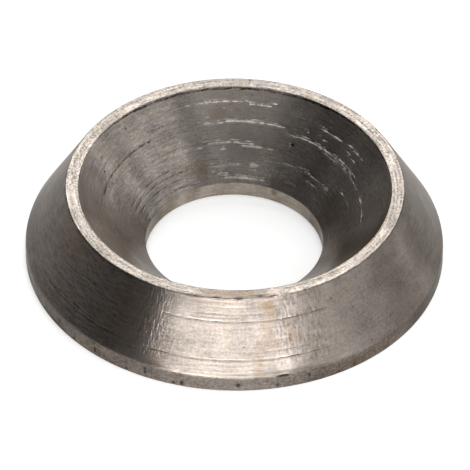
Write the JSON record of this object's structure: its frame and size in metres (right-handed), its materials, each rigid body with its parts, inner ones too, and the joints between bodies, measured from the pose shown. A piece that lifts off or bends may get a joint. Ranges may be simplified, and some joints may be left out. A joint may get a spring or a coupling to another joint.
{
  "type": "cup washer",
  "caption": "Solid turned cup washer: a conical steel ring with a flat base, a countersunk seat and a plain through hole, which seats a countersunk screw on a flat surface.",
  "frame": {"origin": "centre of the flat base, on the face that the washer rests on", "axes": "+Z along the washer's axis, from the base towards the mouth of the conical seat"},
  "size_m": [0.0151, 0.015, 0.0031],
  "materials": {
    "turned_steel": "bare steel as turned on a lathe, with circular tool marks, light stains and small edge nicks"
  },
  "bodies": {
    "root": {"cup_washer": "turned_steel"}
  },
  "joints": []
}
